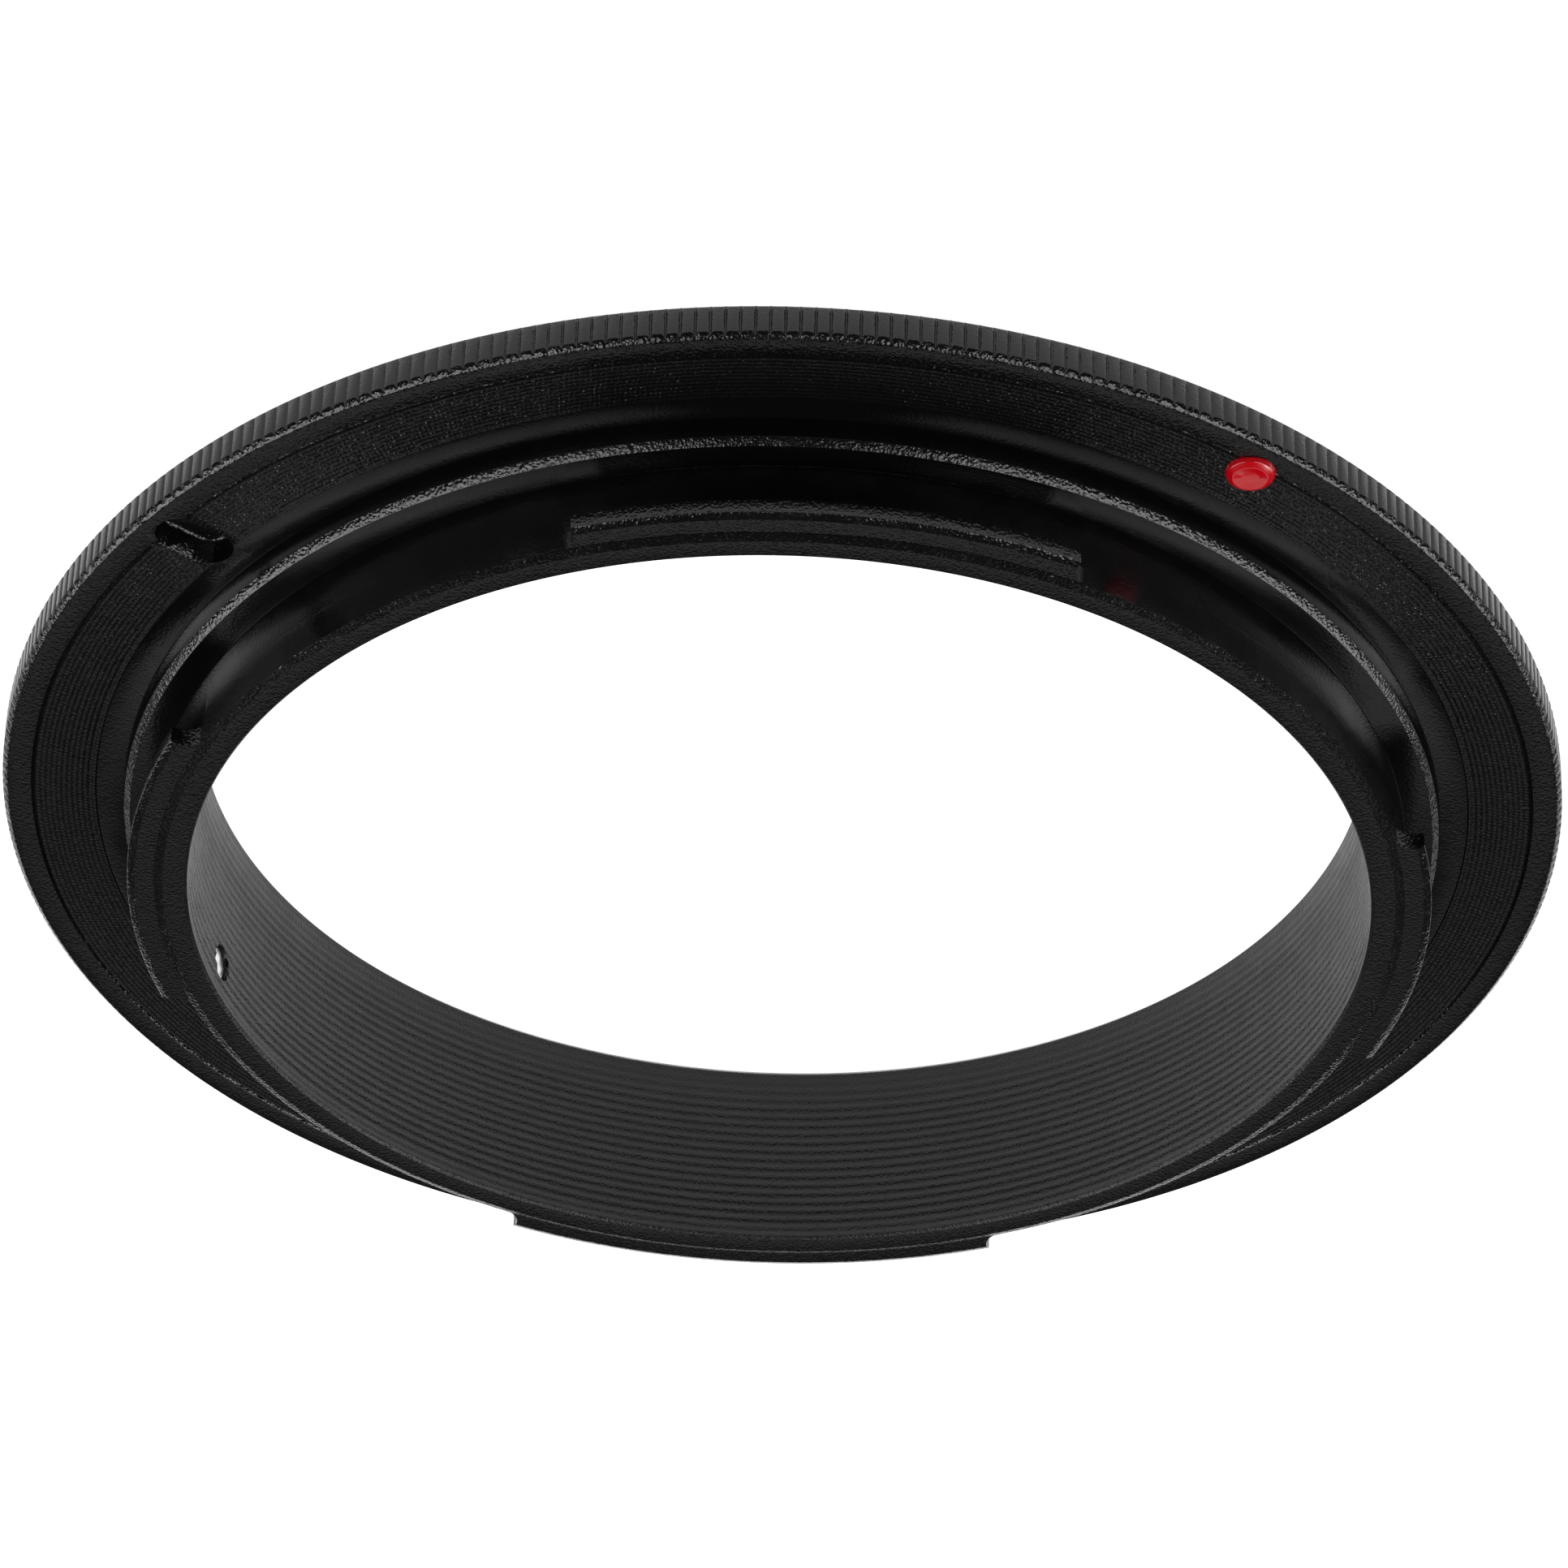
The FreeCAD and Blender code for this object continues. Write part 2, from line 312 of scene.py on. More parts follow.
def spun(points, columns):
    """Spin an outline of (radius, height) points all round the light axis."""
    bm = bmesh.new()
    verts = [bm.verts.new((point[0], 0, point[1])) for point in points]
    edges = [bm.edges.new(pair) for pair in zip(verts, verts[1:])]
    bmesh.ops.spin(
        bm, geom=verts + edges, cent=CENTRE, axis=AXIS, angle=2 * math.pi, steps=columns, use_merge=True
    )
    bmesh.ops.remove_doubles(bm, verts=bm.verts, dist=MERGE)
    return bm


def screwed(profile, pitch, rise, low, high, columns, radius_at):
    """Screw a groove profile of (radius, share of pitch) round the axis and trim it to low and high."""
    bm = bmesh.new()
    base = low - SCREW_START * pitch
    verts = []
    for turn in range(math.ceil((high - low) / pitch) + 3):
        for radius, share in profile:
            verts.append(bm.verts.new((radius, 0, base + (turn + share) * pitch)))
    edges = [bm.edges.new(pair) for pair in zip(verts, verts[1:])]
    bmesh.ops.spin(
        bm,
        geom=verts + edges,
        cent=CENTRE,
        axis=AXIS,
        dvec=AXIS * (rise / columns),
        angle=2 * math.pi,
        steps=columns,
        use_merge=False,
    )
    bmesh.ops.remove_doubles(bm, verts=bm.verts, dist=pitch * 0.001)
    for level, side in ((low, -1), (high, 1)):
        geom = [*bm.verts, *bm.edges, *bm.faces]
        bmesh.ops.bisect_plane(
            bm, geom=geom, dist=1e-9, plane_co=AXIS * level, plane_no=AXIS * side, clear_outer=True
        )
    step = 2 * math.pi / columns
    between = []
    for vert in bm.verts:
        column = math.atan2(vert.co.y, vert.co.x) / step
        if vert.is_boundary and abs(column - round(column)) > 0.001:
            between.append(vert)
    bmesh.ops.dissolve_verts(bm, verts=between)
    bmesh.ops.remove_doubles(bm, verts=bm.verts, dist=SLIVER)
    for vert in bm.verts:
        if vert.is_boundary:
            vert.co.z = low if vert.co.z - low < high - vert.co.z else high
        radius = math.hypot(vert.co.x, vert.co.y)
        wanted = radius_at(radius, vert.co.z)
        vert.co.x *= wanted / radius
        vert.co.y *= wanted / radius
    return bm


def gathered(parts):
    """All parts in one bmesh."""
    whole = bmesh.new()
    for part in parts:
        mesh = mesh_of(part, "part")
        whole.from_mesh(mesh)
        bpy.data.meshes.remove(mesh)
    bmesh.ops.remove_doubles(whole, verts=whole.verts, dist=MERGE)
    return whole


def check_closed(bm, name):
    """A finished piece is a closed solid."""
    loose = sum(1 for edge in bm.edges if not edge.is_manifold)
    if loose:
        raise RuntimeError("%s has %d open edges" % (name, loose))


def land_radius():
    """Where the turned flange meets the grip, above and below."""
    return RING_HIGH.x - LAND_INSET


def flange_outline(turned, lugs):
    """From the outer band over the flange face, register, lug ring and tube rim into the bore."""
    face = turned.flange_face
    lug_radius = turned.tube_radius + lugs.reach
    register = lug_radius + turned.register_step
    register_top = face + turned.register_height
    band = face - turned.inner_band_depth
    inner_band = register + turned.inner_band_width
    groove = inner_band + turned.turned_band_width
    half_groove = turned.seat_groove_width / 2
    tube_top = face + turned.tube_height
    lug_top = tube_top - lugs.setback
    lug_bottom = lug_top - lugs.thickness
    root, edge = turned.root_radius, turned.edge_radius
    corners = [
        (land_radius(), face, 0),
        (groove + half_groove, face, edge),
        (groove, face - turned.seat_groove_depth, edge / 2),
    ]
    first = groove - half_groove
    pitch = (first - inner_band - turned.inner_band_depth * 2) / turned.turned_grooves
    for index in range(turned.turned_grooves):
        ridge = first - index * pitch
        corners.append((ridge, face, 0))
        for share, depth in ((0.2, 0.75), (0.5, 1.0), (0.8, 0.75)):
            corners.append((ridge - share * pitch, face - depth * turned.turned_depth, 0))
    corners += [
        (first - turned.turned_grooves * pitch, face, 0),
        (inner_band, face, edge / 2),
        (inner_band - turned.inner_band_depth, band, edge / 2),
        (register, band, root),
        (register, register_top - turned.register_chamfer, edge),
        (register - turned.register_chamfer, register_top, edge),
        (turned.tube_radius, register_top, root),
        (turned.tube_radius, lug_bottom, edge),
        (lug_radius, lug_bottom, edge),
        (lug_radius, lug_top - lugs.chamfer_height, edge),
        (lug_radius - lugs.chamfer_width, lug_top, edge),
        (turned.tube_radius, lug_top, 0),
        (turned.tube_radius, tube_top - turned.tube_bevel_height, 0),
        (turned.tube_radius - turned.tube_bevel_width, tube_top, edge),
        (turned.bore_radius + turned.bore_high_chamfer, tube_top, edge),
        (turned.bore_radius, tube_top - turned.bore_high_chamfer, edge),
        (turned.bore_radius, tube_top - turned.bore_high_chamfer - TRAP_GAP, 0),
    ]
    return eased(corners)


def boss_outline(turned):
    """Round the end of the lens boss, from the bore to the start of the thread."""
    edge = turned.edge_radius
    return eased([
        (turned.bore_radius, turned.bore_low_chamfer + TRAP_GAP, 0),
        (turned.bore_radius, turned.bore_low_chamfer, edge),
        (turned.bore_radius + turned.bore_low_chamfer, 0, edge),
        (turned.thread_radius - turned.thread_chamfer, 0, edge),
        (turned.thread_radius - turned.thread_chamfer + THREAD_START, THREAD_START, 0),
    ])


def underside_outline(turned):
    """Relief groove and lens side of the flange, out to the grip."""
    bottom = turned.thread_length
    relief = turned.thread_radius - turned.relief_depth
    return eased([
        (relief, bottom - turned.relief_width, 0),
        (relief, bottom, turned.root_radius),
        (land_radius(), bottom, 0),
    ])


def grip_rows(turned, grip):
    """Rows of (height, radius) of the grip from below, for a point that lies a depth under the crests."""
    bottom, top = turned.thread_length, turned.flange_face
    outer = RING_HIGH.x - GRIP_CLEARANCE
    low_edge, high_edge = outer - grip.bottom_chamfer, outer - grip.top_chamfer
    ease = grip.edge_radius
    slant = ease * math.sqrt(0.5)

    def rows(depth):
        radius = outer - depth
        low = bottom + radius - low_edge
        high = top - radius + high_edge
        return (
            (bottom, low_edge - ease),
            (bottom + slant, low_edge + slant),
            (low - slant, radius - slant),
            (low + ease, radius),
            (high - ease, radius),
            (high + slant, radius - slant),
            (top - slant, high_edge + slant),
            (top, high_edge - ease),
        )

    return rows


def grown_grip(turned, grip):
    """Grow the knurled rim row by row, with a land above and below that has one corner for each tooth."""
    bm = bmesh.new()
    tooth = (
        (0.0, 0.0), (0.3, 0.03), (0.38, 0.25), (0.445, 0.9),
        (0.5, 1.0), (0.555, 0.9), (0.62, 0.25), (0.7, 0.03),
    )
    columns = turned.columns * len(tooth)
    tooth_step = 2 * math.pi / turned.columns
    rows = grip_rows(turned, grip)
    circle = bmesh.ops.create_circle(bm, cap_ends=False, segments=columns, radius=RING_HIGH.x)
    first = list(bm.edges)
    column_of = {}
    for vert in circle["verts"]:
        column_of[vert] = round(math.atan2(vert.co.y, vert.co.x) / (2 * math.pi) * columns) % columns

    def place(vert, row):
        number_of_tooth, part = divmod(column_of[vert], len(tooth))
        share, depth = tooth[part]
        level, radius = rows(depth * grip.depth)[row]
        vert.co = polar(radius, (number_of_tooth + share) * tooth_step, level)

    def grown(edges):
        fresh = bmesh.ops.extrude_edge_only(bm, edges=edges)["geom"]
        verts = [part for part in fresh if isinstance(part, bmesh.types.BMVert)]
        known = set(verts)
        for vert in verts:
            near = [edge.other_vert(vert) for edge in vert.link_edges]
            column_of[vert] = column_of[[other for other in near if other not in known][0]]
        edges = [edge for edge in fresh if isinstance(edge, bmesh.types.BMEdge) and edge.is_boundary]
        return verts, edges

    for vert in circle["verts"]:
        place(vert, 0)
    edges = first
    for row in range(1, len(rows(0))):
        verts, edges = grown(edges)
        for vert in verts:
            place(vert, row)
    half = len(tooth) // 2
    for rim, level in ((first, turned.thread_length), (edges, turned.flange_face)):
        for vert in grown(rim)[0]:
            number_of_tooth = (column_of[vert] + half) // len(tooth)
            vert.co = polar(land_radius(), number_of_tooth * tooth_step, level)
    bmesh.ops.remove_doubles(bm, verts=bm.verts, dist=MERGE)
    return bm


def light_trap(turned):
    """Fine screwed groove of the bore, shallow at the thread end."""
    bore = turned.bore_radius
    low = turned.bore_low_chamfer + TRAP_GAP
    high = turned.flange_face + turned.tube_height - turned.bore_high_chamfer - TRAP_GAP

    def radius_at(radius, level):
        share = min(1.0, max(TRAP_LEAST, (level - low) / TRAP_FADE))
        end = max(0.0, min(1.0, (high - level) / RUN_OUT, (level - low) / RUN_OUT))
        return bore + (radius - bore) * share * end

    profile = []
    for step in range(TRAP_STEPS):
        wave = 0.5 - 0.5 * math.cos(2 * math.pi * step / TRAP_STEPS)
        profile.append((bore + turned.trap_depth * wave, step / TRAP_STEPS))
    return screwed(profile, turned.trap_pitch, -turned.trap_pitch, low, high, turned.columns, radius_at)


def lens_thread(turned):
    """Right-hand thread of the boss, cut back by its lead chamfer and its relief."""
    crest = turned.thread_radius
    height = THREAD_DEPTH * turned.thread_pitch
    lead = crest - turned.thread_chamfer
    relief = crest - turned.relief_depth
    relief_low = turned.thread_length - turned.relief_width
    relief_start = relief_low - turned.relief_depth

    def radius_at(radius, level):
        limit = min(crest, lead + level, max(relief, crest - (level - relief_start)))
        end = max(0.0, min(1.0, (relief_low - level) / RUN_OUT, (level - THREAD_START) / RUN_OUT))
        return limit + (min(radius, limit) - limit) * end

    flank = ((1.0, 0.0), (0.93, 0.1), (0.5, 0.25), (0.05, 0.4), (0.0, 0.45))
    profile = [(crest - height * depth, share) for depth, share in flank]
    profile += [(crest - height * depth, 1 - share) for depth, share in flank[:0:-1]]
    pitch = turned.thread_pitch
    return screwed(profile, pitch, pitch, THREAD_START, relief_low, turned.columns, radius_at)


def ring_solid(turned, lugs, grip):
    """The ring before milling, as one closed mesh."""
    bm = gathered([
        spun(flange_outline(turned, lugs), turned.columns),
        spun(boss_outline(turned), turned.columns),
        spun(underside_outline(turned), turned.columns),
        light_trap(turned),
        lens_thread(turned),
        grown_grip(turned, grip),
    ])
    bmesh.ops.recalc_face_normals(bm, faces=bm.faces)
    check_closed(bm, "ring_body")
    return bm


def gap_cutter(bm, turned, lugs, start, sweep):
    """Milling path between two lugs."""
    arc = turned.tube_radius - lugs.cutter_step
    cutter = lugs.cutter_radius
    outer = turned.tube_radius + lugs.reach + CLEAR_OF_METAL
    lug_bottom = turned.flange_face + turned.tube_height - lugs.setback - lugs.thickness
    register_top = turned.flange_face + turned.register_height
    bottom = lug_bottom - (lug_bottom - register_top) / 4
    lean = math.asin(cutter / (arc + cutter))
    across = math.sqrt((arc + cutter) ** 2 - cutter ** 2)
    far = polar(outer, 0, bottom)
    near = Vector((across, 0, bottom))
    verts = [bm.verts.new(far), bm.verts.new(near)]
    bm.edges.new(verts)
    before = set(bm.verts) - set(verts)

    def swung(vert, centre, turn, steps):
        result = bmesh.ops.spin(bm, geom=[vert], cent=centre, axis=AXIS, angle=turn, steps=steps)
        return [part for part in result["geom_last"] if isinstance(part, bmesh.types.BMVert)][0]

    quarter = math.pi / 2 - lean
    first_centre = Vector((across, cutter, bottom))
    second_centre = Matrix.Rotation(sweep, 3, "Z") @ Vector((across, -cutter, bottom))
    last = swung(verts[1], first_centre, -quarter, CORNER_STEPS)
    last = swung(last, CENTRE, sweep - 2 * lean, math.ceil(math.degrees(sweep)))
    last = swung(last, second_centre, -quarter, CORNER_STEPS)
    end = bm.verts.new(polar(outer, sweep, bottom))
    bm.edges.new((last, end))
    swung(end, CENTRE, -sweep, OUTER_STEPS)
    mine = [vert for vert in bm.verts if vert not in before]
    bmesh.ops.remove_doubles(bm, verts=mine, dist=MERGE)
    mine = [vert for vert in bm.verts if vert not in before]
    edges = list({edge for vert in mine for edge in vert.link_edges})
    face = bmesh.ops.contextual_create(bm, geom=edges)["faces"][0]
    raised = bmesh.ops.extrude_face_region(bm, geom=[face], use_keep_orig=True)["geom"]
    top = [part for part in raised if isinstance(part, bmesh.types.BMVert)]
    bmesh.ops.translate(bm, verts=top, vec=AXIS * (RING_HIGH.z + CLEAR_OF_METAL - bottom))
    mine = [vert for vert in bm.verts if vert not in before]
    turn = Matrix.Rotation(INDEX_DIRECTION + start, 3, "Z")
    bmesh.ops.rotate(bm, verts=mine, cent=CENTRE, matrix=turn)


def slot_loop(bm, near, far, half_width, level):
    """Closed outline with round ends."""
    first = bm.verts.new((near, -half_width, level))
    second = bm.verts.new((far, -half_width, level))
    bm.edges.new((first, second))
    before = set(bm.verts) - {first, second}
    turned_end = bmesh.ops.spin(
        bm, geom=[second], cent=(far, 0, level), axis=AXIS, angle=math.pi, steps=SLOT_END_STEPS
    )["geom_last"]
    third = [part for part in turned_end if isinstance(part, bmesh.types.BMVert)][0]
    fourth = bm.verts.new((near, half_width, level))
    bm.edges.new((third, fourth))
    bmesh.ops.spin(
        bm, geom=[fourth], cent=(near, 0, level), axis=AXIS, angle=math.pi, steps=SLOT_END_STEPS
    )
    verts = [vert for vert in bm.verts if vert not in before]
    bmesh.ops.remove_doubles(bm, verts=verts, dist=MERGE)
    verts = [vert for vert in bm.verts if vert not in before]
    return list({edge for vert in verts for edge in vert.link_edges})


def slot_cutter(bm, turned, marks, groove):
    """Pocket of the lock slot with its broken edge."""
    half = marks.slot_width / 2
    reach = marks.slot_length / 2 - half
    near = groove - marks.slot_inset - reach
    far = near + 2 * reach
    face = turned.flange_face
    flare = marks.slot_break
    before = set(bm.verts)
    loops = []
    for growth, level in (
        (-SLOT_FLOOR_BREAK, face - marks.slot_depth),
        (0, face - marks.slot_depth + SLOT_FLOOR_BREAK),
        (0, face - flare),
        (flare + CLEAR_OF_METAL, face + CLEAR_OF_METAL),
    ):
        loops.append(slot_loop(bm, near, far, half + growth, level))
    for lower, upper in zip(loops, loops[1:]):
        bmesh.ops.bridge_loops(bm, edges=lower + upper)
    for loop in (loops[0], loops[-1]):
        bmesh.ops.contextual_create(bm, geom=loop)
    mine = [vert for vert in bm.verts if vert not in before]
    turn = Matrix.Rotation(INDEX_DIRECTION + marks.slot_direction, 3, "Z")
    bmesh.ops.rotate(bm, verts=mine, cent=CENTRE, matrix=turn)


def milling_cutters(turned, lugs, marks, groove):
    """Every milled or drilled cut as one mesh of closed shapes."""
    bm = bmesh.new()
    for index in range(LUG_COUNT):
        end = lugs.starts[index] + lugs.sweeps[index]
        following = lugs.starts[(index + 1) % LUG_COUNT]
        gap_cutter(bm, turned, lugs, end, (following - end) % (2 * math.pi))
    slot_cutter(bm, turned, marks, groove)
    dot_place = polar(groove - marks.dot_inset, INDEX_DIRECTION, turned.flange_face)
    bmesh.ops.create_cone(
        bm,
        cap_ends=True,
        segments=RECESS_STEPS,
        radius1=marks.dot_diameter / 2,
        radius2=marks.dot_diameter / 2,
        depth=2 * marks.dot_recess,
        matrix=Matrix.Translation(dot_place),
    )
    turn = Matrix.Rotation(INDEX_DIRECTION + marks.pin_direction, 4, "Z")
    shift = Matrix.Translation((turned.tube_radius, 0, pin_level(turned, lugs, marks)))
    bmesh.ops.create_cone(
        bm,
        cap_ends=True,
        segments=PIN_STEPS,
        radius1=marks.pin_diameter / 2,
        radius2=marks.pin_diameter / 2,
        depth=PIN_DRILL_LENGTH,
        matrix=turn @ shift @ Matrix.Rotation(math.pi / 2, 4, "Y"),
    )
    bmesh.ops.recalc_face_normals(bm, faces=bm.faces)
    check_closed(bm, "cutters")
    return bm


def pin_level(turned, lugs, marks):
    """Height of the stop pin's axis."""
    lug_bottom = turned.flange_face + turned.tube_height - lugs.setback - lugs.thickness
    return lug_bottom - marks.pin_below_lug - marks.pin_diameter / 2


def mesh_of(bm, name):
    """Mesh data from a bmesh."""
    mesh = bpy.data.meshes.new(name)
    bm.to_mesh(mesh)
    bm.free()
    return mesh


def milled(blank, cutters):
    """The blank less its cutters, as new mesh data."""
    body = bpy.data.objects.new("blank", mesh_of(blank, "blank"))
    tool = bpy.data.objects.new("cutters", mesh_of(cutters, "cutters"))
    for thing in (body, tool):
        bpy.context.scene.collection.objects.link(thing)
    cut = body.modifiers.new("Milling", "BOOLEAN")
    cut.operation = "DIFFERENCE"
    cut.solver = "MANIFOLD"
    cut.object = tool
    bpy.context.view_layer.update()
    graph = bpy.context.evaluated_depsgraph_get()
    mesh = bpy.data.meshes.new_from_object(body.evaluated_get(graph))
    for thing in (body, tool):
        data = thing.data
        bpy.data.objects.remove(thing)
        bpy.data.meshes.remove(data)
    return mesh


def piece(name, mesh, materials, node, sharp=50):
    """Put a finished mesh in the scene in place of its node."""
    mesh.name = name
    mesh.materials.clear()
    for material in materials:
        mesh.materials.append(material)
    mesh.shade_smooth()
    mesh.set_sharp_from_angle(angle=math.radians(sharp))
    thing = bpy.data.objects.new(name, mesh)
    bpy.context.scene.collection.objects.link(thing)
    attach(thing, "root")
    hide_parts(node)
    return thing


class Nodes:
    """Short way to add and wire shader nodes."""

    def __init__(self, tree):
        self.tree = tree

    def add(self, kind, links=None, **values):
        node = self.tree.nodes.new(kind)
        for key, value in values.items():
            setattr(node, key, value)
        for socket, source in (links or {}).items():
            target = node.inputs[socket]
            if isinstance(source, bpy.types.NodeSocket):
                self.tree.links.new(source, target)
            else:
                target.default_value = source
        return node

    def maths(self, operation, first, second=0.0, third=0.0):
        """One Math node."""
        return self.add("ShaderNodeMath", {0: first, 1: second, 2: third}, operation=operation).outputs[0]

    def mapped(self, value, low, high, to_low, to_high):
        """One Map Range node."""
        links = {"Value": value, "From Min": low, "From Max": high, "To Min": to_low, "To Max": to_high}
        return self.add("ShaderNodeMapRange", links).outputs["Result"]


def new_material(name):
    """Empty material with its principled shader."""
    material = bpy.data.materials.new(name)
    material.use_nodes = True
    nodes = Nodes(material.node_tree)
    shader = material.node_tree.nodes["Principled BSDF"]
    place = nodes.add("ShaderNodeTexCoord").outputs["Object"]
    return material, nodes, shader, place


def grain_group():
    """Grain that bead blasting leaves under the anodising."""
    name = "Blasted grain"
    if name in bpy.data.node_groups:
        return bpy.data.node_groups[name]
    group = bpy.data.node_groups.new(name, "ShaderNodeTree")
    face = group.interface
    face.new_socket("Place", in_out="INPUT", socket_type="NodeSocketVector")
    face.new_socket("Fineness", in_out="INPUT", socket_type="NodeSocketFloat").default_value = 1.0
    face.new_socket("Height", in_out="OUTPUT", socket_type="NodeSocketFloat")
    face.new_socket("Roughness", in_out="OUTPUT", socket_type="NodeSocketFloat")
    nodes = Nodes(group)
    given = nodes.add("NodeGroupInput")
    result = nodes.add("NodeGroupOutput")
    links = {0: given.outputs["Place"], "Scale": given.outputs["Fineness"]}
    place = nodes.add("ShaderNodeVectorMath", links, operation="SCALE").outputs[0]
    links = {"Vector": place, "Scale": GRAIN_SCALE, "Detail": 1.5, "Roughness": 0.55}
    fine = nodes.add("ShaderNodeTexNoise", links).outputs[0]
    pits = nodes.add("ShaderNodeTexVoronoi", {"Vector": place, "Scale": PIT_SCALE}, feature="F1")
    blend = nodes.maths("MULTIPLY_ADD", pits.outputs["Distance"], PIT_SHARE, fine)
    clouds = {"Vector": place, "Scale": CLOUD_SCALE, "Detail": 2.0}
    wide = nodes.add("ShaderNodeTexNoise", clouds).outputs[0]
    group.links.new(blend, result.inputs["Height"])
    rough = nodes.mapped(wide, 0.3, 0.7, -CLOUD_ROUGHNESS, CLOUD_ROUGHNESS)
    group.links.new(rough, result.inputs["Roughness"])
    return group


def anodised(name, finish, roughness, grain, fineness, turned_marks=0.0, shine=0.5):
    """Black anodised aluminium; turned_marks adds the chatter of the turned band."""
    material, nodes, shader, place = new_material(name)
    group = nodes.add("ShaderNodeGroup", node_tree=grain_group())
    material.node_tree.links.new(place, group.inputs["Place"])
    group.inputs["Fineness"].default_value = fineness
    height = group.outputs["Height"]
    if turned_marks:
        parts = nodes.add("ShaderNodeSeparateXYZ", {0: place})
        direction = nodes.maths("ARCTAN2", parts.outputs["Y"], parts.outputs["X"])
        radius = nodes.add("ShaderNodeVectorMath", {0: place}, operation="LENGTH").outputs["Value"]
        links = {"Vector": place, "Scale": SWAY_SCALE, "Detail": 1.0}
        sway = nodes.add("ShaderNodeTexNoise", links).outputs[0]
        across = nodes.maths("MULTIPLY", radius, CHATTER_ACROSS)
        phase = nodes.maths("MULTIPLY_ADD", direction, CHATTER_ROUND, across)
        wave = nodes.maths("SINE", nodes.maths("MULTIPLY_ADD", sway, SWAY, phase))
        height = nodes.maths("MULTIPLY_ADD", wave, turned_marks, height)
    bump = nodes.add("ShaderNodeBump", {"Height": height, "Distance": grain, "Strength": 1.0})
    material.node_tree.links.new(bump.outputs[0], shader.inputs["Normal"])
    rough = nodes.maths("ADD", group.outputs["Roughness"], roughness)
    material.node_tree.links.new(rough, shader.inputs["Roughness"])
    shader.inputs["Base Color"].default_value = (*finish.anodised, 1)
    shader.inputs["IOR"].default_value = finish.sheen
    shader.inputs["Specular IOR Level"].default_value = shine
    return material


def enamel_material(finish):
    """Glossy red enamel."""
    material, nodes, shader, place = new_material("red_enamel")
    links = {"Vector": place, "Scale": ENAMEL_SCALE, "Detail": 2.0}
    wide = nodes.add("ShaderNodeTexNoise", links).outputs[0]
    red, green, blue = finish.enamel
    links = {0: wide, 6: (red, green, blue, 1), 7: (red * 0.8, green, blue, 1)}
    tone = nodes.add("ShaderNodeMix", links, data_type="RGBA")
    material.node_tree.links.new(tone.outputs[2], shader.inputs["Base Color"])
    bump = nodes.add("ShaderNodeBump", {"Height": wide, "Distance": 0.01 * MM, "Strength": 0.6})
    material.node_tree.links.new(bump.outputs[0], shader.inputs["Normal"])
    shader.inputs["Roughness"].default_value = 0.18
    shader.inputs["Coat Weight"].default_value = 0.6
    shader.inputs["Coat Roughness"].default_value = 0.05
    return material


def steel_material(finish):
    """Bright ground steel."""
    material, nodes, shader, place = new_material("bright_steel")
    stretched = nodes.add("ShaderNodeMapping", {"Vector": place, "Scale": STEEL_SCALE}).outputs[0]
    links = {"Vector": stretched, "Scale": 1.0, "Detail": 3.0}
    streaks = nodes.add("ShaderNodeTexNoise", links).outputs[0]
    rough = nodes.mapped(streaks, 0.3, 0.7, 0.18, 0.34)
    material.node_tree.links.new(rough, shader.inputs["Roughness"])
    bump = nodes.add("ShaderNodeBump", {"Height": streaks, "Distance": 0.002 * MM, "Strength": 1.0})
    material.node_tree.links.new(bump.outputs[0], shader.inputs["Normal"])
    shader.inputs["Base Color"].default_value = (*finish.steel, 1)
    shader.inputs["Metallic"].default_value = 1.0
    return material


def floor_material(studio):
    """Plain white table that glows."""
    material, _, shader, _ = new_material("pale_floor")
    shader.inputs["Base Color"].default_value = (*[studio.floor_tone] * 3, 1)
    shader.inputs["Roughness"].default_value = 0.9
    shader.inputs["Emission Color"].default_value = (1, 1, 1, 1)
    shader.inputs["Emission Strength"].default_value = studio.floor_glow
    return material


def finishes_of(mesh, turned, lugs, grip, band, groove):
    """Each face of the ring with its finish, told from where it lies and how it leans."""
    level = turned.flange_face
    lug_bottom = level + turned.tube_height - lugs.setback - lugs.thickness
    wall_low = level - turned.inner_band_depth - WALL_SLACK
    tube_low, tube_high = turned.tube_radius - WALL_SLACK, turned.tube_radius + WALL_SLACK
    bore_high = turned.bore_radius + turned.trap_depth * 1.2
    grip_low = RING_HIGH.x - grip.top_chamfer
    grip_top = level - grip.top_chamfer * 0.8
    turned_depth = turned.turned_depth * 1.5
    for face in mesh.polygons:
        height, lean = face.center.z, face.normal.z
        radius = math.hypot(face.center.x, face.center.y)
        upright = abs(lean) < UPRIGHT_LEAN
        bevelled = BEVEL_LEAN[0] < lean < BEVEL_LEAN[1] and height > level
        inside = height > wall_low and tube_low < radius < band and not bevelled
        kind = "blasted"
        if radius < bore_high:
            kind = "bore"
        elif radius > grip_low and height < grip_top:
            kind = "grip"
        elif band < radius < groove and abs(height - level) < turned_depth:
            kind = "turned"
        elif inside and (height < lug_bottom - WALL_SLACK or (upright and radius < tube_high)):
            kind = "wall"
        yield face, kind


